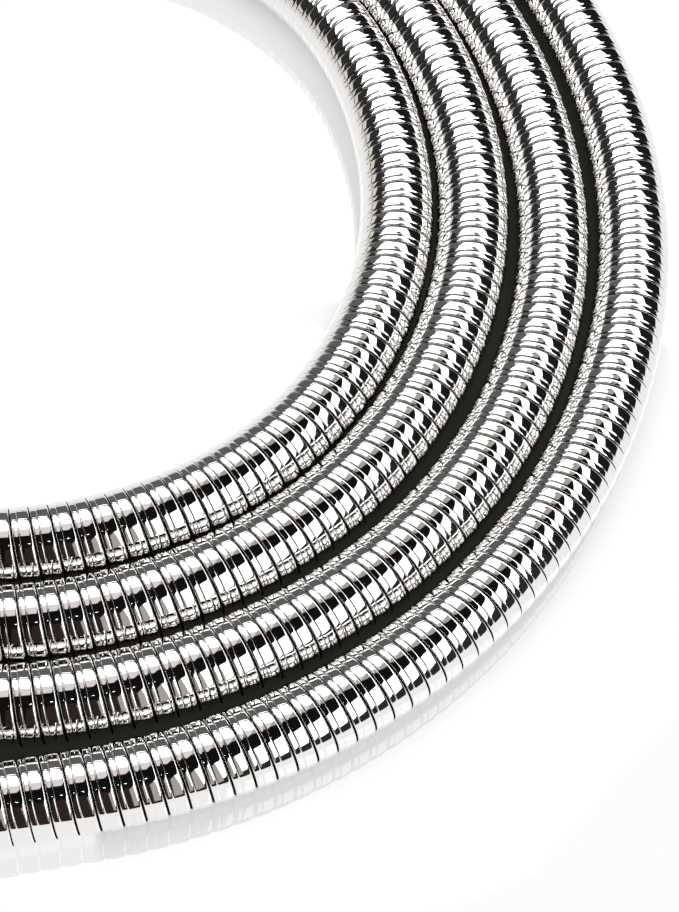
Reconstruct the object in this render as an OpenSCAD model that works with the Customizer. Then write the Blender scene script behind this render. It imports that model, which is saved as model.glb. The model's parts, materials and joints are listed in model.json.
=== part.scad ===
// Handheld bath sprayer for washing pets: a chrome handset with a squeeze trigger,
// a double-lock strip-wound metal hose lying in a flat coil, and the tap end fitting.
// Units are millimetres, +Z is up, and the sprayer lies on a flat floor at z = 0.
// The handset lies along X with its spray head towards -X and its face upwards.

/* [Hose] */
// Outside diameter of the strip-wound hose
hose_od = 14; // [12:0.5:18]
// Smallest hose centreline radius in the coil
coil_r_min = 73; // [60:1:90]
// Largest hose centreline radius in the coil
coil_r_max = 123.5; // [110:0.5:140]
// Bend radius of the inner hose end
lead_bend_r = 56; // [50:1:70]

/* [Handset] */
// Height of the handle axis above the floor
axis_z = 14.6; // [14.4:0.1:18]
// Largest handle radius
handle_r = 14; // [13:0.1:14.2]
// Outside radius of the spray head
head_r = 32; // [28:0.5:34]
// Tilt of the spray face away from the handle axis normal
face_tilt = 30; // [15:1:40]
// Radius of the spray nozzles
nozzle_r = 1.1; // [0.8:0.1:1.2]

/* [Trigger and valve] */
// Lever angle at full squeeze
trigger_travel = 6; // [4:0.5:6.5]
// Width of the lever
trigger_w = 16; // [12:1:20]
// Valve stem radius inside the gland
stem_r = 2.5; // [2:0.1:2.5]

/* [Threads] */
// Core radius of the half inch pipe thread, drawn plain
thread_r = 9.4; // [9.3:0.05:9.6]
// Width of the tap nut across its flats
tap_nut_af = 24; // [23.5:0.5:25]

/* [Hidden] */
$fn = 64;
fine = 96;
gap = 0.3;
slip = 0.1;
hose_r = hose_od / 2;

// Handle frame: local z runs from the inlet to the head, local y is the trigger side
handset_x = 85.6;
joint_z = 140;
chamber_z = 108;
plug_z = 28;
pivot_y = 17;
pivot_z = 132;
low_bore_y = -5;
low_bore_r = 3.8;
high_bore_y = 4;
high_bore_r = 2.9;

// Valve levels along local y
chamber_floor = -10.3;
seat_low = -1.2;
seat_high = 1;
gland_low = 8.6;
gland_high = 15.7;
stem_top = 20.1;

// Spray head centre in the handle frame
head_y = 14;
head_z = 176;
register_r = 28.5;
cavity_r = 24;

// Coil centre on the floor, and the tap end
coil_x = 196;
coil_y = 126.4;
tap_x = coil_x - 43.8;
tap_y = coil_y + 12.2;
tap_z = 12;

// Hose end stack, measured from the cut end of the hose
ferrule_back = -14;
flange_low = 8;
flange_high = 10;
washer_low = 10.05;
washer_high = 12.05;
nipple_end = 12.1;
hose_end_z = -11 - nipple_end;

chrome = [0.83, 0.84, 0.86];
brass = [0.80, 0.62, 0.30];
rubber = [0.10, 0.10, 0.11];
silicone = [0.42, 0.43, 0.45];
plastic = [0.92, 0.92, 0.90];
steel = [0.66, 0.67, 0.69];

// ---------- frames ----------

module in_handset() {
    translate([handset_x, 0, axis_z]) rotate([90, 0, -90]) children();
}

module along_y(y, z) {
    translate([0, y, z]) rotate([-90, 0, 0]) children();
}

module in_head() {
    in_handset() translate([0, head_y, head_z]) rotate([-90 + face_tilt, 0, 0]) children();
}

module at_handset_end() {
    in_handset() translate([0, 0, hose_end_z]) children();
}

module at_tap_end() {
    translate([tap_x, tap_y + ferrule_back, tap_z]) rotate([90, 0, 0]) children();
}

// ---------- shared shapes ----------

module tube(r_out, r_in, z0, z1) {
    difference() {
        translate([0, 0, z0]) cylinder(r = r_out, h = z1 - z0);
        translate([0, 0, z0 - 1]) cylinder(r = r_in, h = z1 - z0 + 2);
    }
}

module rod(r, z0, z1) {
    translate([0, 0, z0]) cylinder(r = r, h = z1 - z0);
}

module ring(major, minor, z) {
    translate([0, 0, z]) rotate_extrude($fn = fine) translate([major, 0]) circle(r = minor, $fn = 32);
}

module around(n, r, first = 0) {
    for (i = [0 : n - 1])
        rotate([0, 0, first + i * 360 / n]) translate([r, 0, 0]) children();
}

function unit(v) = v / norm(v);
function tangent(p, i) = unit(p[min(i + 1, len(p) - 1)] - p[max(i - 1, 0)]);
function side_of(t) = unit(cross(t, [0, 0, 1]));
function hoop(c, t, r, n, q = 0) =
    [for (k = [0 : n - 1])
        let (a = 360 * (k + 0.5) / n, s = side_of(t), u = cross(s, t))
        c + r * cos(a) * s + r * sin(a) * u];

// A round bar along a list of points
module bar(p, r, n, first_t, last_t) {
    m = len(p);
    pts = [for (i = [0 : m - 1])
        let (t = i == 0 ? first_t : i == m - 1 ? last_t : tangent(p, i))
        for (q = hoop(p[i], t, r, n)) q];
    sides = [for (i = [0 : m - 2]) for (k = [0 : n - 1])
        [i * n + k, i * n + (k + 1) % n, (i + 1) * n + (k + 1) % n, (i + 1) * n + k]];
    polyhedron(points = pts,
        faces = concat([[for (k = [n - 1 : -1 : 0]) k]], sides, [[for (k = [0 : n - 1]) (m - 1) * n + k]]),
        convexity = 6);
}

// ---------- handle ----------

// Handle radius at local z: a soft swell in the middle of the grip
function swell(z) = 12.4 + (handle_r - 12.4) * pow(sin(180 * min(max(z, 0), 120) / 120), 1.2);

module handle_body() {
    color(chrome) in_handset() difference() {
        union() {
            rotate_extrude($fn = fine) polygon(concat(
                [[0, 0], [11.6, 0]],
                [for (z = [0.8 : 4.96 : 125]) [swell(z), z]],
                [[12.4, joint_z], [0, joint_z]]));
            along_y(0, chamber_z) cylinder(r = 9, h = 15.5);
            along_y(0, plug_z) cylinder(r = 8.6, h = 15.2);
            translate([-4, 6, pivot_z - 4.5]) cube([8, pivot_y - 6, 9]);
            translate([-4, pivot_y, pivot_z]) rotate([0, 90, 0]) cylinder(r = 4.5, h = 8);
        }
        rod(9.05, -1, 12);
        rod(7, 11, 15);
        translate([0, low_bore_y, 12]) cylinder(r = low_bore_r, h = chamber_z - 12);
        along_y(chamber_floor, chamber_z) cylinder(r = 5.4, h = 20);
        along_y(seat_low, chamber_z) cylinder(r = 6, h = 20);
        along_y(gland_low, chamber_z) cylinder(r = 6.5, h = 20);
        translate([0, high_bore_y, chamber_z]) cylinder(r = high_bore_r, h = 24);
        rod(9.5, joint_z - 12.5, joint_z + 1);
        along_y(-9.6, plug_z) cylinder(r = 5.5, h = 30);
        along_y(5.5, plug_z) cylinder(r = 6.55, h = 30);
        translate([-10, pivot_y, pivot_z]) rotate([0, 90, 0]) cylinder(r = 2, h = 20);
    }
}

module inlet_nipple() {
    color(chrome) in_handset() difference() {
        union() {
            rod(thread_r - slip, -11, -1.9);
            rod(11.8, -1.9, -0.02);
            rod(9, -0.1, 11.9);
            rod(8.5, -2.5, -1);
        }
        rod(5.2, -12, 13);
        rod(6.5, 6.6, 13);
    }
}

module inlet_filter() {
    color(steel) in_handset() difference() {
        rod(6.4, 6.62, 7.2);
        translate([0, 0, 6]) around(6, 2.2, 0) cylinder(r = 0.7, h = 2);
        translate([0, 0, 6]) around(12, 4.3, 15) cylinder(r = 0.7, h = 2);
        rod(0.7, 6, 8);
    }
}

module flow_restrictor() {
    color(plastic) in_handset() difference() {
        rod(6.4, 7.25, 11.6);
        rod(5, 7, 9);
        translate([0, 0, 8]) around(8, 3.4) cylinder(r = 0.9, h = 5);
    }
}

// ---------- valve ----------

module valve_seat() {
    color(brass) in_handset() along_y(0, chamber_z) difference() {
        rod(5.95, seat_low + 0.02, seat_high);
        rod(3.4, seat_low - 1, seat_high + 1);
    }
}

module valve_stem() {
    color(brass) in_handset() along_y(0, chamber_z) rotate_extrude($fn = fine) polygon([
        [0, -4.4], [4.6, -4.4], [4.6, -3.2], [2, -3.2], [2, -1.25], [2.9, -1.25], [2.9, 0.6],
        [stem_r, 1.2], [stem_r, 18.6], [3.4, 18.6], [3.4, 19.1], [2.7, 19.6], [1.6, 19.95],
        [0, stem_top]]);
}

module seal_washer() {
    color(rubber) in_handset() along_y(0, chamber_z) tube(4.8, 2.03, -3.18, -1.27);
}

module valve_spring() {
    turns = 3.5;
    steps = 14;
    low = chamber_floor + 0.45;
    high = -4.4 - 0.45;
    total = turns * steps;
    p = [for (i = [0 : total]) let (a = 360 * i / steps)
        [3.9 * cos(a), 3.9 * sin(a), low + (high - low) * i / total]];
    color(steel) translate([handset_x - chamber_z, 0, axis_z])
        bar(p, 0.35, 8, unit([0, 1, 0.02]), unit([0, -1, 0.02]));
}

module valve_gland() {
    color(brass) in_handset() along_y(0, chamber_z) difference() {
        rod(6.45, gland_low + 0.02, gland_high);
        rod(stem_r + slip, gland_low - 1, gland_high + 1);
        rod(4.3, 11, 13);
        for (a = [0, 90])
            rotate([0, 0, a]) translate([-8, -0.75, gland_high - 1]) cube([16, 1.5, 2]);
    }
}

module stem_o_ring() {
    color(rubber) in_handset() along_y(0, chamber_z) ring(3.43, 0.8, 12);
}

// ---------- trigger ----------

function lever_low(z) = 20.4 + 0.1 * (chamber_z - z) + (z < 62 ? 0.02 * pow(62 - z, 2) : 0);
function lever_high(z) = lever_low(z) + 3.2;

module trigger_side() {
    polygon(concat(
        [for (z = [50 : 4 : 126]) [z, lever_low(z)]],
        [for (z = [126 : -4 : 50]) [z, lever_high(z)]]));
}

module trigger_ear() {
    polygon([[112, lever_low(112)], [126, 15], [pivot_z, pivot_y - 4.4], [pivot_z, pivot_y + 4.4],
        [124, lever_high(124)], [112, lever_high(112)]]);
    translate([pivot_z, pivot_y]) circle(r = 4.4, $fn = 48);
}

module trigger() {
    half = trigger_w / 2;
    color(chrome) in_handset() difference() {
        union() {
            intersection() {
                rotate([0, -90, 0]) translate([0, 0, -half]) linear_extrude(trigger_w) trigger_side();
                union() {
                    along_y(10, 50 + half) cylinder(r = half, h = 30);
                    translate([-half, 10, 50 + half]) cube([trigger_w, 30, 80]);
                }
            }
            for (s = [-1, 1])
                rotate([0, -90, 0]) translate([0, 0, s * (half - 1.8) - 1.8])
                    linear_extrude(3.6) trigger_ear();
        }
        translate([-20, pivot_y, pivot_z]) rotate([0, 90, 0]) cylinder(r = 2.1, h = 40);
    }
}

module trigger_pin() {
    half = trigger_w / 2;
    color(steel) in_handset() translate([0, pivot_y, pivot_z]) rotate([0, 90, 0]) {
        rod(1.98, -half - 0.6, half + 0.6);
        rod(3.2, half + 0.4, half + 1.4);
        rod(3.2, -half - 1.4, -half - 0.4);
    }
}

// ---------- flow control ----------

module flow_spindle() {
    color(brass) in_handset() along_y(0, plug_z) difference() {
        union() {
            rod(5.4, -9.3, 5);
            rod(3, 4, 21);
        }
        translate([0, -20, low_bore_y]) rotate([-90, 0, 0]) cylinder(r = low_bore_r, h = 40);
        tube(8, 4.15, 1.6, 3.4);
    }
}

module flow_o_ring() {
    color(rubber) in_handset() along_y(0, plug_z) ring(4.78, 0.58, 2.5);
}

module flow_bonnet() {
    color(chrome) in_handset() along_y(0, plug_z) difference() {
        union() {
            rod(6.5, 5.55, 15.3);
            rod(8.3, 15.22, 16.6);
        }
        rod(3 + slip, 4, 18);
    }
}

module flow_knob() {
    color(chrome) in_handset() along_y(0, plug_z) difference() {
        union() {
            rod(10.2, 17, 21.6);
            rod(8.2, 21, 23.4);
            translate([-1.6, 0, 17]) cube([3.2, 12.6, 5.6]);
        }
        rod(3.02, 16, 21.02);
        translate([0, 0, 16]) around(14, 11.4, 12.86) cylinder(r = 1.7, h = 4.4);
    }
}

// ---------- spray head ----------

// Depth of the domed back of the head at radius r
function dome(r) = -6 - 18.4 * sqrt(1 - pow(min(r, head_r) / head_r, 2.7));

module head_shell() {
    color(chrome) {
        difference() {
            union() {
                in_head() rotate_extrude($fn = fine) polygon(concat(
                    [for (k = [0 : 18]) let (r = head_r * sin(5 * k)) [r, dome(r)]],
                    [[head_r, -5.8], [register_r, -5.8], [register_r, 0], [0, 0]]));
                in_handset() rod(12.4, joint_z + 0.02, 165);
                in_handset() translate([0, 0, 165]) sphere(r = 12.4, $fn = fine);
                in_handset() rod(9.4, joint_z - 12, joint_z + 1);
            }
            in_head() difference() {
                union() {
                    rod(cavity_r, -8, 1);
                    translate([0, 0, -13]) cylinder(r1 = 14, r2 = cavity_r, h = 5.01);
                }
                rod(6, -14, 1);
            }
            in_head() tube(27.3, 25.1, -1.7, 1);
            in_head() rod(1.7, -11, 5);
            in_handset() translate([0, high_bore_y, joint_z - 13]) cylinder(r = high_bore_r, h = 38);
            in_handset() tube(14, 7.9, 132, 134.4);
        }
        in_head() tube(4, 1.7, -0.5, 2.3);
    }
}

module neck_o_ring() {
    color(rubber) in_handset() ring(8.68, 0.76, 133.2);
}

module face_seal() {
    color(rubber) in_head() ring(26.2, 0.8, -0.85);
}

module mode_disc() {
    color(plastic) in_head() difference() {
        rod(27.25, 0.3, 2.1);
        rod(4.3, 0, 3);
        around(3, 14, 30) cylinder(r = 4.2, h = 3);
        around(3, 19, 90) cylinder(r = 2.4, h = 3);
    }
}

module face_ring() {
    color(chrome) in_head() difference() {
        union() {
            rod(head_r, -5.5, 4.6);
            intersection() {
                translate([-5, 0, -5.5]) cube([10, head_r + 3, 10.1]);
                translate([0, head_r - 9, -6]) cylinder(r = 12, h = 12);
            }
        }
        rod(register_r + gap, -6, 0.31);
        rod(27.3, -1, 2.2);
        rod(30.35, 2.1, 5);
        translate([0, 0, -7]) around(36, head_r + 0.75, 5) cylinder(r = 1.2, h = 8, $fn = 24);
    }
}

module nozzle_grid(r, h) {
    around(8, 12.5, 0) cylinder(r = r, h = h, $fn = 24);
    around(12, 18, 15) cylinder(r = r, h = h, $fn = 24);
    around(16, 23.5, 0) cylinder(r = r, h = h, $fn = 24);
}

module nozzle_mat() {
    color(silicone) in_head() difference() {
        union() {
            rod(26.9, 2.42, 3.9);
            translate([0, 0, 3]) nozzle_grid(nozzle_r, 4);
        }
        rod(4.3, 2, 5);
        translate([0, 0, 2]) nozzle_grid(0.45, 6);
    }
}

module face_plate() {
    color(chrome) in_head() difference() {
        rod(30, 2.42, 5.5);
        rod(27, 2, 3.92);
        rod(1.75, 2, 6);
        translate([0, 0, 3]) nozzle_grid(nozzle_r + 0.15, 4);
    }
    color(chrome) in_head() tube(4, 1.75, 2.32, 4.2);
}

module centre_screw() {
    color(steel) in_head() difference() {
        union() {
            rod(1.65, -10, 5.6);
            rod(3.2, 5.52, 7);
        }
        translate([-4, -0.4, 6.3]) cube([8, 0.8, 2]);
    }
}

module screw_cap() {
    color(chrome) in_head() difference() {
        rotate_extrude($fn = fine) polygon([[0, 5.52], [7, 5.52], [7, 6.6], [6.4, 7.7], [5, 8.4],
            [2.5, 8.8], [0, 8.9]]);
        rod(3.4, 5, 7.2);
    }
}

// ---------- hose end fittings ----------

module insert() {
    difference() {
        union() {
            rod(4.3, -12, 0.5);
            rod(5.5, 0.02, flange_low + 0.5);
            rod(8.8, flange_low, flange_high);
        }
        rod(3.2, -13, flange_high + 1);
    }
}

module ferrule() {
    difference() {
        rotate_extrude($fn = fine) polygon([[0, ferrule_back], [7.7, ferrule_back],
            [8.1, ferrule_back + 0.6], [8.1, -9], [7.8, -8.5], [7.8, -7.5], [8.1, -7],
            [8.1, -4], [7.8, -3.5], [7.8, -2.5], [8.1, -2], [8.1, 1], [7.7, 1.5], [0, 1.5]]);
        rod(hose_r + 0.1, ferrule_back - 1, 0.02);
        rod(5.55, -1, 2);
    }
}

module swivel_insert() {
    color(brass) at_handset_end() insert();
}

module hose_ferrule() {
    color(chrome) at_handset_end() ferrule();
}

module swivel_washer() {
    color(rubber) at_handset_end() tube(9, 5, washer_low, washer_high);
}

module cone_nut() {
    color(chrome) at_handset_end() difference() {
        rotate_extrude($fn = fine) polygon([[0, 2.2], [8.1, 2.2], [8.6, 2.8], [11.6, 11.4],
            [12.2, 12], [12.2, 20], [11.6, 20.6], [0, 20.6]]);
        rod(5.6, 1, 10);
        rod(9.2, flange_low - 0.1, nipple_end + 0.1);
        rod(thread_r, nipple_end, 22);
        translate([0, 0, 12.6]) around(18, 12.7, 0) cylinder(r = 0.9, h = 6.6, $fn = 24);
    }
}

module tap_insert() {
    color(brass) at_tap_end() insert();
}

module tap_ferrule() {
    color(chrome) at_tap_end() ferrule();
}

module tap_washer() {
    color(rubber) at_tap_end() tube(9, 5, washer_low, washer_high);
}

module tap_nut() {
    color(chrome) at_tap_end() difference() {
        intersection() {
            translate([0, 0, 5.4]) cylinder(d = tap_nut_af / cos(30), h = 16.6, $fn = 6);
            rotate_extrude($fn = fine) polygon([[0, 5.4], [11.8, 5.4], [13.9, 7.2], [13.9, 20.4],
                [12.2, 22], [0, 22]]);
        }
        rod(5.6, 4, 10);
        rod(9.2, flange_low - 0.1, nipple_end + 0.1);
        rod(thread_r, nipple_end, 23);
        translate([0, 0, 21.2]) cylinder(r1 = thread_r, r2 = thread_r + 1, h = 1);
    }
}

// ---------- hose ----------

// Four turns side by side, as one flat ring: the spiral makes its hole sit off centre
module hose_coil() {
    hole_r = coil_r_min + 3.5 - hose_r;
    high_r = coil_r_max + hose_r;
    edge = 4;
    color(chrome) translate([coil_x, coil_y, 0]) difference() {
        rotate_extrude($fn = fine) polygon([
            [0, 0], [high_r - edge, 0], [high_r, edge], [high_r, hose_od - edge],
            [high_r - edge, hose_od], [0, hose_od]]);
        translate([-4, -1, 0]) rotate_extrude($fn = fine) polygon([
            [0, -1], [hole_r + edge + 1, -1], [hole_r, edge], [hole_r, hose_od - edge],
            [hole_r + edge + 1, hose_od + 1], [0, hose_od + 1]]);
    }
}

// The inner end curls into the middle of the coil and rises to the tap fitting
module hose_lead() {
    cx = coil_x - 43.8 + lead_bend_r;
    arc = [for (a = [45 : 13.5 : 180])
        [cx + lead_bend_r * cos(a), tap_y + lead_bend_r * sin(a),
            hose_r + (tap_z - hose_r) * pow(sin(90 * min(1, (a - 45) / 130)), 2)]];
    route = concat(arc, [[tap_x, tap_y + ferrule_back, tap_z]]);
    color(chrome) difference() {
        bar(route, hose_r, 12, unit([-1, 1, 0]), [0, -1, 0]);
        at_tap_end() rod(4.35, -12.1, 1);
    }
}

// The outer end leaves the coil straight and rises to the handset
module hose_tail() {
    end_x = handset_x - hose_end_z;
    low_y = coil_y - coil_r_max;
    rise = [for (k = [0 : 6]) let (x = 186 - 9 * k)
        [x, low_y * pow(cos(15 * k), 2), hose_r + (axis_z - hose_r) * pow(sin(15 * k), 2)]];
    route = concat(rise, [[end_x + 14, 0, axis_z], [end_x, 0, axis_z]]);
    color(chrome) difference() {
        bar(route, hose_r, 12, [-1, 0, 0], [-1, 0, 0]);
        at_handset_end() rod(4.35, -12.1, 1);
    }
}

handle_body();
head_shell();
neck_o_ring();
face_seal();
mode_disc();
face_ring();
nozzle_mat();
face_plate();
centre_screw();
screw_cap();
trigger();
trigger_pin();
valve_stem();
seal_washer();
valve_spring();
valve_seat();
valve_gland();
stem_o_ring();
flow_spindle();
flow_o_ring();
flow_bonnet();
flow_knob();
inlet_nipple();
inlet_filter();
flow_restrictor();
cone_nut();
swivel_insert();
swivel_washer();
hose_ferrule();
hose_tail();
hose_coil();
hose_lead();
tap_ferrule();
tap_insert();
tap_washer();
tap_nut();
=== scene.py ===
"""Looks of a handheld bath sprayer: a strip-wound chrome hose in a flat coil, its chrome
handset and its tap end, on a glossy white floor between studio panels."""

import json
import math

import bpy
import numpy as np
from mathutils import Matrix, Vector


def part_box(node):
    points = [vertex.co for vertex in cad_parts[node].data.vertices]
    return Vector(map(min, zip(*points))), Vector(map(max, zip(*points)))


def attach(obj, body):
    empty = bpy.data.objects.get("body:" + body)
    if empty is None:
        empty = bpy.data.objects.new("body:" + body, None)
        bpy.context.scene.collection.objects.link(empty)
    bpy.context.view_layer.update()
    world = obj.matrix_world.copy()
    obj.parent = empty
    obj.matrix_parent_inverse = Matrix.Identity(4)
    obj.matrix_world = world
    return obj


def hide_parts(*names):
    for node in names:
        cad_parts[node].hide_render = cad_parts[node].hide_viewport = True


MM = 0.001

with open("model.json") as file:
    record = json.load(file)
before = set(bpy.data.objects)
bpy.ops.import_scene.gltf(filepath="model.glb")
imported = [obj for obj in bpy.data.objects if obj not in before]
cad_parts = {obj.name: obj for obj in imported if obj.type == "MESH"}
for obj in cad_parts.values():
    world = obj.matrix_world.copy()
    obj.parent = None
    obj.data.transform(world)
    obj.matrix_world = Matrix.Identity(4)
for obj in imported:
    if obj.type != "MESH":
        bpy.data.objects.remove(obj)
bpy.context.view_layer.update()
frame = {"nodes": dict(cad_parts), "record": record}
NODES = frame["nodes"]


def middle(node):
    low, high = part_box(node)
    return (low + high) / 2


# ---------- places, in metres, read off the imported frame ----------

COIL_OUTSIDE = 0.1305
COIL_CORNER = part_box("hose_coil")[1]
COIL_C = Vector((COIL_CORNER.x - COIL_OUTSIDE, COIL_CORNER.y - COIL_OUTSIDE, 0))
AXIS_Z = middle("cone_nut").z
TAP = middle("tap_nut")
TAP_HOSE_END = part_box("tap_insert")[1].y - 0.012
HANDSET_HOSE_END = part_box("swivel_insert")[1].x - 0.012

# ---------- hose dimensions ----------

HOSE_R = 7.0 * MM
PITCH = 3.45 * MM
SEGMENTS = 48
# The lead's bend into the coil: its radius, and how far its centre is from the coil's in x and y
LEAD_BEND = 56 * MM
LEAD_CENTRE = 12.2 * MM
# The tail rises over this many mm, from this x to the handset, and starts at this y
RISE_X = (186 * MM, 54 * MM)
TAIL_Y = COIL_C.y - 123.5 * MM

# The coil starts and ends at these clockwise angles from +X, and at these radii in mm
COIL_ANGLES = (-45, 360 * 3 + 90)
COIL_RADII = (73.25, 123.5)
# Between them: clockwise angle from +X, and the centreline radius of each turn there, in mm
TURN_ANGLES = (-30, 0, 30, 60, 95)
TURN_RADII = (
    (73.8, 73.2, 74.95, 77.9, 79.2),
    (88.0, 87.65, 89.35, 92.0, 93.7),
    (102.15, 102.3, 104.95, 107.2, 107.9),
    (118.4, 117.95, 119.9, 122.4, 123.8),
)

# One wind of the strip: where along the hose, and how far from its centreline, in mm
WIND = (
    (0.00, 6.40),
    (0.03, 6.66),
    (0.07, 6.83),
    (0.15, 6.93),
    (0.30, 6.98),
    (0.50, 7.00),
    (1.95, 7.00),
    (2.08, 6.985),
    (2.16, 6.92),
    (2.20, 6.85),
    (2.27, 6.875),
    (2.37, 6.885),
    (3.02, 6.885),
    (3.14, 6.86),
    (3.22, 6.78),
    (3.26, 6.66),
    (3.28, 6.40),
)
# The bands' flat middle along the hose, and the depth below which the groove gets painted shade: a
# near-black material
BANDS_MIDDLE = 1.64
GROOVE_SHADE_FROM = 6.70
# How much of a bend's stretch the groove takes up, and not the bands
GAP_SHARE = 0.45


# ---------- cameras and light ----------


def add_camera():
    data = bpy.data.cameras.new("camera")
    cam = bpy.data.objects.new("camera", data)
    bpy.context.scene.collection.objects.link(cam)
    eye = COIL_C + Vector((0, -225.97, 297.85)) * MM
    ahead = Vector((0.15099, 0.46811, -0.87068)).normalized()
    right = Vector((0.97991, -0.18697, 0.06941)).normalized()
    up = right.cross(ahead).normalized()
    cam.matrix_world = Matrix(
        (
            (right.x, up.x, -ahead.x, eye.x),
            (right.y, up.y, -ahead.y, eye.y),
            (right.z, up.z, -ahead.z, eye.z),
            (0, 0, 0, 1),
        )
    )
    data.sensor_width = 36
    data.lens = 74.9
    data.clip_start = 0.01
    data.clip_end = 50
    bpy.context.scene.camera = cam


def emitter(name, colour, strength):
    mat = bpy.data.materials.new(name)
    mat.use_nodes = True
    nodes = mat.node_tree.nodes
    nodes.clear()
    out = nodes.new("ShaderNodeOutputMaterial")
    glow = nodes.new("ShaderNodeEmission")
    glow.inputs["Color"].default_value = (*colour, 1)
    glow.inputs["Strength"].default_value = strength
    mat.node_tree.links.new(glow.outputs[0], out.inputs["Surface"])
    return mat


def stage_mesh(name, verts, faces, material):
    mesh = bpy.data.meshes.new(name)
    mesh.from_pydata(verts, [], faces)
    mesh.materials.append(material)
    obj = bpy.data.objects.new(name, mesh)
    bpy.context.scene.collection.objects.link(obj)
    return obj


def unseen(obj, lights=False):
    """A panel of the studio: seen in reflections only, and casting no shadow."""
    obj.visible_camera = False
    obj.visible_shadow = False
    obj.visible_diffuse = lights
    return obj


def heading(azimuth, elevation, distance):
    """A point around the coil, azimuth anticlockwise from +X and elevation up, in degrees."""
    a, e = math.radians(azimuth), math.radians(elevation)
    return COIL_C + distance * Vector(
        (math.cos(e) * math.cos(a), math.cos(e) * math.sin(a), math.sin(e))
    )


def panel(name, azimuths, lows, highs, colour, strength, lights=False):
    """A curved glowing panel between two elevations that change with the azimuth."""
    az = np.linspace(azimuths[0], azimuths[-1], 25)
    low, high = np.interp(az, azimuths, lows), np.interp(az, azimuths, highs)
    steps = 7
    verts = [
        heading(a, lo + (hi - lo) * k / steps, PANEL_DISTANCE)
        for a, lo, hi in zip(az, low, high)
        for k in range(steps + 1)
    ]
    row = steps + 1
    faces = [
        (i * row + k, (i + 1) * row + k, (i + 1) * row + k + 1, i * row + k + 1)
        for i in range(len(az) - 1)
        for k in range(steps)
    ]
    return unseen(stage_mesh(name, verts, faces, emitter(name, colour, strength)), lights)


def ceiling(name, corners, colour, strength):
    """A flat glowing panel overhead; its corners are in metres from the coil's centre."""
    verts = [COIL_C + Vector((x, y, 1.0)) for x, y in corners]
    obj = stage_mesh(name, verts, [tuple(range(len(verts)))], emitter(name, colour, strength))
    return unseen(obj)


PANEL_DISTANCE = 1.5
WHITE = (1.0, 1.0, 1.0)
WARM = (1.0, 0.95, 0.87)
PINK = (1.0, 0.94, 0.93)
BROWN = (1.0, 0.66, 0.58)


def build_studio():
    """The panels the chrome mirrors: azimuths, lower and upper elevations, in degrees."""
    panel(
        "window", (-72, -60, -45, -30, -18), (15, 17, 20, 25, 32), (57, 58, 58, 57, 55),
        WHITE, 2.6, lights=True,
    )
    panel("window_side", (-84, -78, -72), (6, 6, 8), (50, 54, 57), WARM, 0.42)
    panel(
        "right_band", (-18, 0, 30, 50, 68, 82), (35, 38, 39, 40, 42, 43), (55, 55, 54, 54, 56, 60),
        WHITE, 3.0, lights=True,
    )
    panel(
        "back_box",
        (82, 90, 100, 120, 140, 165), (35, 33, 34, 38, 42, 46), (60, 62, 64, 64, 62, 60),
        WHITE, 3.0, lights=True,
    )
    ceiling(
        "back_box_top", ((-0.2, 0.3), (0.2, 0.3), (0.34, 0.5), (0.2, 0.62), (-0.2, 0.62)),
        WHITE, 1.4,
    )
    ceiling(
        "overhead", ((-0.16, -0.03), (0.04, -0.03), (0.12, 0.08), (0.2, 0.3), (-0.16, 0.3)),
        PINK, 0.8,
    )
    ceiling(
        "overhead_left", ((-0.7, 0.02), (-0.16, -0.03), (-0.16, 0.5), (-0.7, 0.5)), WARM, 0.42
    )
    ceiling(
        "overhead_right",
        ((0.12, 0.08), (0.3, 0.12), (0.62, 0.36), (0.5, 0.55), (0.34, 0.5), (0.2, 0.3)),
        WARM, 0.42,
    )
    panel("back_wall", (58, 75, 120), (0, 0, 0), (40, 42, 38), WHITE, 0.12)
    panel("left_back", (120, 200), (14, 14), (42, 50), WHITE, 0.03)
    panel("left_low", (120, 200), (0, 0), (14, 14), WARM, 0.75)
    panel("right_wall", (-20, 58), (0, 0), (35, 40), WHITE, 0.012)
    panel("right_front", (-72, -20), (0, 0), (15, 34), WHITE, 0.025)
    panel("front_room", (-102, -84), (0, 0), (56, 56), BROWN, 0.03)
    for k, width in enumerate((0.9, 1.5, 0.9)):
        a = -93.0 + 3.0 * k
        panel("lamp_%d" % k, (a, a + width), (66, 66), (67.2, 67.2), WHITE, 9.0)


# Where the painted shade by the hose starts and ends, in mm from its centreline, and the painted
# shade in its gaps
SHADE_FROM, SHADE_TO = 1.0, 11.0
GAP_PAINTED_SHADE = 0.02
# The floor's own light, how much it mirrors, and the brightness of what it mirrors
FLOOR_LIGHT = 0.91
FLOOR_MIRROR = 0.075
FLOOR_SKY = 2.3
# Half the width of the floor's fine grid, its step, and how far the floor reaches, in metres
GRID_HALF, GRID_STEP = 0.145, 0.0015
FLOOR_HALF = 4.0


def floor_painted_shade(x, y):
    """How bright the floor is: painted shade, dark between the turns and darker close to the hose.
    """
    dx, dy = x - COIL_C.x, y - COIL_C.y
    r = np.hypot(dx, dy)
    angle = np.degrees(np.arctan2(-dy, dx))
    turns = []
    for k in range(-1, 5):
        a = angle + 360 * k
        here = (a >= COIL_ANGLES[0]) & (a <= COIL_ANGLES[1])
        turns.append(np.where(here, turn_radius(np.clip(a, *COIL_ANGLES)), np.nan))
    turns = np.array(turns)
    gap = np.nanmin(np.abs(turns - r), axis=0)
    between = (r > np.nanmin(turns, axis=0)) & (r < np.nanmax(turns, axis=0))
    glow = np.clip((gap / MM - SHADE_FROM) / (SHADE_TO - SHADE_FROM), 0, 1) ** 0.5
    glow = np.where(between, GAP_PAINTED_SHADE, 0.25 + 0.75 * glow)
    # painted shade in the wedge between the last turn and the straight run to the handset
    left = np.clip((COIL_C.x - x) / MM / 30 - 1, 0, 1)
    wedge = (dx < 0) & (dy < 0) & (r > np.nanmax(turns, axis=0)) & (y > TAIL_Y)
    return np.where(wedge, np.maximum(GAP_PAINTED_SHADE, glow * left), glow)


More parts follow.
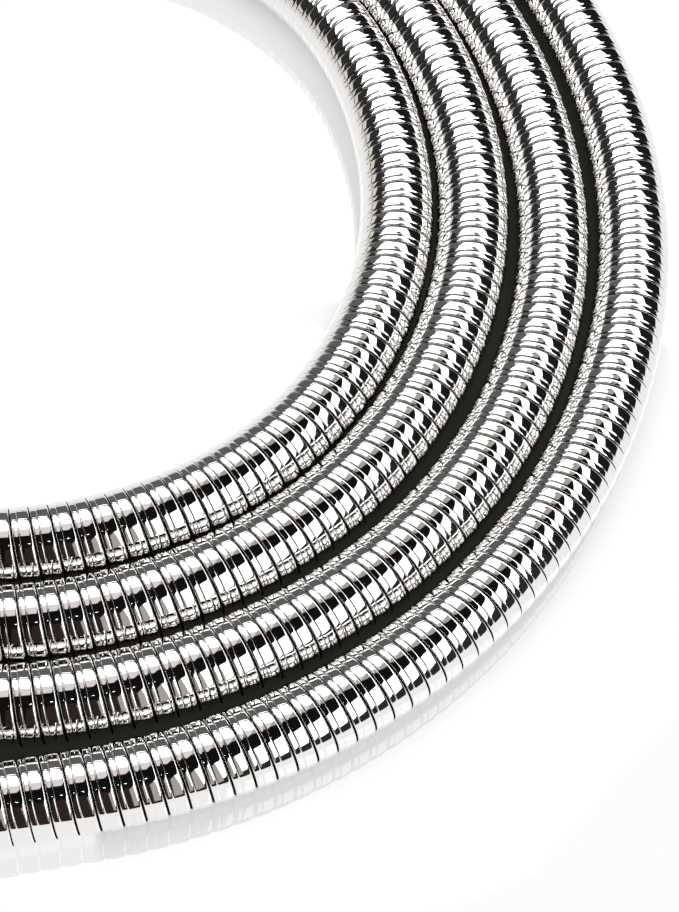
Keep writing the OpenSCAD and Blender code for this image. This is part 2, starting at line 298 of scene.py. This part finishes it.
def floor_material():
    mat = bpy.data.materials.new("floor_acrylic")
    mat.use_nodes = True
    nodes, links = mat.node_tree.nodes, mat.node_tree.links
    nodes.clear()
    out = nodes.new("ShaderNodeOutputMaterial")
    # the glow attribute paints shade on the floor's even light: dark between the turns and near
    # the hose
    shade = nodes.new("ShaderNodeAttribute")
    shade.attribute_name = "glow"
    light = nodes.new("ShaderNodeEmission")
    light.inputs["Strength"].default_value = FLOOR_LIGHT
    links.new(shade.outputs["Color"], light.inputs["Color"])
    mirror = nodes.new("ShaderNodeBsdfGlossy")
    mirror.inputs["Roughness"].default_value = 0.02
    # where shade is painted, the floor mirrors less as well
    share = nodes.new("ShaderNodeMath")
    share.operation = "MULTIPLY"
    share.inputs[1].default_value = FLOOR_MIRROR
    links.new(shade.outputs["Fac"], share.inputs[0])
    mix = nodes.new("ShaderNodeMixShader")
    links.new(share.outputs[0], mix.inputs[0])
    links.new(light.outputs[0], mix.inputs[1])
    links.new(mirror.outputs[0], mix.inputs[2])
    links.new(mix.outputs[0], out.inputs["Surface"])
    return mat


def build_floor():
    near = np.arange(-GRID_HALF, GRID_HALF + 0.0001, GRID_STEP)
    xs = np.concatenate([[-FLOOR_HALF], COIL_C.x + near, [FLOOR_HALF]])
    ys = np.concatenate([[-FLOOR_HALF], COIL_C.y + near, [FLOOR_HALF]])
    gx, gy = np.meshgrid(xs, ys)
    verts = np.stack([gx, gy, 0 * gx], -1).reshape(-1, 3)
    n = len(xs)
    i = (np.arange(len(ys) - 1)[:, None] * n + np.arange(n - 1)).ravel()
    faces = np.stack([i, i + 1, i + 1 + n, i + n], -1)
    floor = stage_mesh("floor", verts.tolist(), faces.tolist(), floor_material())
    # the painted shade for each point, a touch warmer where it is darker
    glow = floor_painted_shade(verts[:, 0], verts[:, 1])
    colour = np.stack([glow, glow, glow ** 1.06, np.ones(len(glow))], -1)
    attribute = floor.data.color_attributes.new("glow", "FLOAT_COLOR", "POINT")
    attribute.data.foreach_set("color", colour.astype(np.float32).ravel())
    return floor


def ring_faces(rows):
    """Faces between rings of 36 points each."""
    return [
        (36 * j + k, 36 * j + (k + 1) % 36, 36 * (j + 1) + (k + 1) % 36, 36 * (j + 1) + k)
        for j in range(rows)
        for k in range(36)
    ]


def build_backdrop():
    """A pale wall far around, for the low views."""
    verts = [
        COIL_C + Vector((3.9 * math.cos(t), 3.9 * math.sin(t), z))
        for z in (-0.01, 1.6)
        for t in np.radians(np.arange(0, 360, 10))
    ]
    backdrop = stage_mesh("backdrop", verts, ring_faces(1), emitter("backdrop", WHITE, 1.0))
    backdrop.visible_glossy = False
    backdrop.visible_diffuse = False
    backdrop.visible_shadow = False


def build_floor_sky(floor):
    """An evenly bright dome that only the floor mirrors, so the floor stays plain white."""
    mat = bpy.data.materials.new("floor_sky")
    mat.use_nodes = True
    nodes, links = mat.node_tree.nodes, mat.node_tree.links
    nodes.clear()
    out = nodes.new("ShaderNodeOutputMaterial")
    both = nodes.new("ShaderNodeAddShader")
    glow = nodes.new("ShaderNodeEmission")
    glow.inputs["Strength"].default_value = FLOOR_SKY
    clear = nodes.new("ShaderNodeBsdfTransparent")
    links.new(glow.outputs[0], both.inputs[0])
    links.new(clear.outputs[0], both.inputs[1])
    links.new(both.outputs[0], out.inputs["Surface"])
    verts = [heading(a, e, 0.9) for e in range(0, 91, 10) for a in range(0, 360, 10)]
    dome = unseen(stage_mesh("floor_sky", verts, ring_faces(9), mat))
    only = bpy.data.collections.new("floor_only")
    only.objects.link(floor)
    dome.light_linking.receiver_collection = only


def build_world():
    world = bpy.data.worlds.new("studio")
    bpy.context.scene.world = world
    world.use_nodes = True
    world.node_tree.nodes["Background"].inputs["Color"].default_value = (1, 1, 1, 1)
    world.node_tree.nodes["Background"].inputs["Strength"].default_value = 0.006


# ---------- materials ----------


def principled(name, colour, metallic, roughness, **more):
    mat = bpy.data.materials.new(name)
    mat.use_nodes = True
    skin = mat.node_tree.nodes["Principled BSDF"]
    skin.inputs["Base Color"].default_value = (*colour, 1)
    skin.inputs["Metallic"].default_value = metallic
    skin.inputs["Roughness"].default_value = roughness
    for key, value in more.items():
        skin.inputs[key.replace("_", " ")].default_value = value
    return mat


CHROME = principled("chrome", (0.83, 0.83, 0.84), 1, 0.06)
HOSE_CHROME = principled("hose_chrome", (0.86, 0.85, 0.84), 1, 0.05)
# painted shade: a near-black, rough material for the groove's depths, where the metal is only in
# shadow
GROOVE_PAINTED_SHADE = principled("groove_painted_shade", (0.002, 0.002, 0.002), 0, 0.8, Specular_IOR_Level=0.1)
BRASS = principled("brass", (0.78, 0.58, 0.28), 1, 0.22)
STEEL = principled("steel", (0.62, 0.62, 0.63), 1, 0.25)
RUBBER = principled("rubber", (0.02, 0.02, 0.021), 0, 0.5)
SILICONE = principled("silicone", (0.16, 0.165, 0.175), 0, 0.42)
PLASTIC = principled("plastic", (0.85, 0.85, 0.83), 0, 0.35)
BY_SLOT = {
    "chrome": CHROME,
    "hose_chrome": HOSE_CHROME,
    "brass": BRASS,
    "steel": STEEL,
    "rubber": RUBBER,
    "silicone": SILICONE,
    "plastic": PLASTIC,
}


def dress_cad_nodes():
    """Gives each CAD node the material of its record slot."""
    slots = {s["node"]: s["material_slot"] for s in frame["record"]["subparts"]}
    for name, obj in NODES.items():
        obj.data.materials.clear()
        obj.data.materials.append(BY_SLOT[slots[name]])


# ---------- hose ----------


def hermite(x, xs, ys):
    """A smooth curve through the points (xs, ys)."""
    slopes = np.gradient(ys, xs)
    k = np.clip(np.searchsorted(xs, x, side="right") - 1, 0, len(xs) - 2)
    h = xs[k + 1] - xs[k]
    t = (x - xs[k]) / h
    return (
        (2 * t**3 - 3 * t**2 + 1) * ys[k]
        + (t**3 - 2 * t**2 + t) * h * slopes[k]
        + (3 * t**2 - 2 * t**3) * ys[k + 1]
        + (t**3 - t**2) * h * slopes[k + 1]
    )


def turn_radius(a):
    """The coil's centreline radius at a clockwise angle that keeps counting, in metres."""
    angles, radii = [COIL_ANGLES[0]], [COIL_RADII[0]]
    for turn, row in enumerate(TURN_RADII):
        angles += [360 * turn + k for k in TURN_ANGLES]
        radii += row
    angles[-1], radii[-1] = COIL_ANGLES[1], COIL_RADII[1]
    return hermite(a, np.array(angles, float), np.array(radii)) * MM


def coil_points():
    """The coil's centreline, from its inner end to where it leaves for the handset."""
    a = np.arange(COIL_ANGLES[0], COIL_ANGLES[1] + 0.01, 0.75)
    r = turn_radius(a)
    a = np.radians(a)
    return np.stack(
        [COIL_C.x + r * np.cos(a), COIL_C.y - r * np.sin(a), np.full(len(a), HOSE_R)], 1
    )


def lead_points():
    """From the cut end in the tap ferrule to the coil's inner end."""
    a = np.arange(179.0, 45.5, -1.0)
    lift = np.sin(np.radians(90 * np.minimum(1, (a - 45) / 130))) ** 2
    arc = np.stack(
        [
            COIL_C.x + LEAD_CENTRE + LEAD_BEND * np.cos(np.radians(a)),
            COIL_C.y + LEAD_CENTRE + LEAD_BEND * np.sin(np.radians(a)),
            HOSE_R + (TAP.z - HOSE_R) * lift,
        ],
        1,
    )
    top = COIL_C.y + LEAD_CENTRE
    y = np.linspace(TAP_HOSE_END, top, 14)
    straight = np.stack([np.full(14, TAP.x), y, np.full(14, TAP.z)], 1)
    return np.concatenate([straight, arc])


def tail_points():
    """From the coil to the cut end in the handset's ferrule."""
    x = np.arange(COIL_C.x - 1 * MM, HANDSET_HOSE_END, -1.0 * MM)
    t = np.clip((RISE_X[0] - x) / RISE_X[1], 0, 1)
    y = TAIL_Y * np.cos(t * math.pi / 2) ** 2
    z = HOSE_R + (AXIS_Z - HOSE_R) * np.sin(t * math.pi / 2) ** 2
    x = np.append(x, HANDSET_HOSE_END)
    return np.stack([x, np.append(y, 0), np.append(z, AXIS_Z)], 1)


def evenly(points, step):
    gone = np.concatenate([[0], np.cumsum(np.linalg.norm(np.diff(points, axis=0), axis=1))])
    s = np.linspace(0, gone[-1], int(round(gone[-1] / step)) + 1)
    return np.stack([np.interp(s, gone, points[:, k]) for k in range(3)], 1), s


def eased(points, passes):
    """Softens the joints between stretches, and keeps both ends."""
    p = points.copy()
    for _ in range(passes):
        p[1:-1] = (p[:-2] + 2 * p[1:-1] + p[2:]) / 4
    return p


def unit(v):
    return v / np.linalg.norm(v, axis=-1, keepdims=True)


def hose_route():
    points = np.concatenate([lead_points(), coil_points(), tail_points()])
    line, _ = evenly(points, 1.0 * MM)
    return evenly(eased(line, 30), 0.5 * MM)


def hose_mesh(line, s):
    """One strip wound all along the line: a helix of winds, each with the strip's profile."""
    along = unit(np.gradient(line, axis=0))
    bend = np.gradient(along, s, axis=0)
    length = s[-1]
    winds = int(length / PITCH)
    rows = winds * SEGMENTS
    profile = np.array(WIND) * MM
    count = len(profile)
    turn = 2 * math.pi * np.arange(rows + 1) / SEGMENTS
    base = (length - winds * PITCH) / 2 + PITCH * np.arange(rows + 1) / SEGMENTS - PITCH / 2

    def lookup(table, where):
        return np.stack([np.interp(where, s, table[:, k]) for k in range(3)], -1)

    t0 = unit(lookup(along, base))
    up0 = unit(np.array([0, 0, 1.0]) - t0[:, 2:3] * t0)
    side0 = np.cross(up0, t0)
    out0 = np.cos(turn)[:, None] * side0 + np.sin(turn)[:, None] * up0
    # on a bend the bands and the groove between them share the stretch
    stretch = 1 - HOSE_R * np.einsum("ij,ij->i", lookup(bend, base), out0)
    centre = BANDS_MIDDLE * MM
    offset = centre + (profile[None, :, 0] - centre) / stretch[:, None] ** GAP_SHARE
    where = np.clip(base[:, None] + offset, 0, length)
    t = unit(lookup(along, where))
    up = unit(np.array([0, 0, 1.0]) - t[..., 2:3] * t)
    side = np.cross(up, t)
    out = np.cos(turn)[:, None, None] * side + np.sin(turn)[:, None, None] * up
    verts = lookup(line, where) + profile[None, :, 1:2] * out
    i = np.arange(rows)[:, None]
    k = np.arange(count - 1)[None, :]
    a = i * count + k
    strip = np.stack([a, a + 1, a + 1 + count, a + count], -1).reshape(-1, 4)
    j = np.arange(rows - SEGMENTS)
    near = j * count + count - 1
    far = (j + SEGMENTS) * count
    closing = np.stack([near, far, far + count, near + count], -1)
    faces = np.concatenate([strip, closing])
    mesh = bpy.data.meshes.new("strip_wound_hose")
    mesh.from_pydata(verts.reshape(-1, 3).tolist(), [], faces.tolist())
    mesh.shade_smooth()
    mesh.materials.append(HOSE_CHROME)
    mesh.materials.append(GROOVE_PAINTED_SHADE)
    # the deep faces of each wind and the faces that close the groove get the painted shade
    painted_shade_segments = profile[:-1, 1] + profile[1:, 1] < 2 * GROOVE_SHADE_FROM * MM
    slot = np.concatenate([np.tile(painted_shade_segments, rows), np.ones(len(closing), bool)])
    mesh.polygons.foreach_set("material_index", slot.astype(np.int32))
    return mesh


def build_hose():
    line, s = hose_route()
    mesh = hose_mesh(line, s)
    hose = bpy.data.objects.new("strip_wound_hose", mesh)
    bpy.context.scene.collection.objects.link(hose)
    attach(hose, "hose")
    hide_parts("hose_coil", "hose_lead", "hose_tail")
    return hose


build_world()
build_floor_sky(build_floor())
build_backdrop()
build_studio()
add_camera()
dress_cad_nodes()
build_hose()

bpy.context.scene.view_settings.view_transform = "Standard"
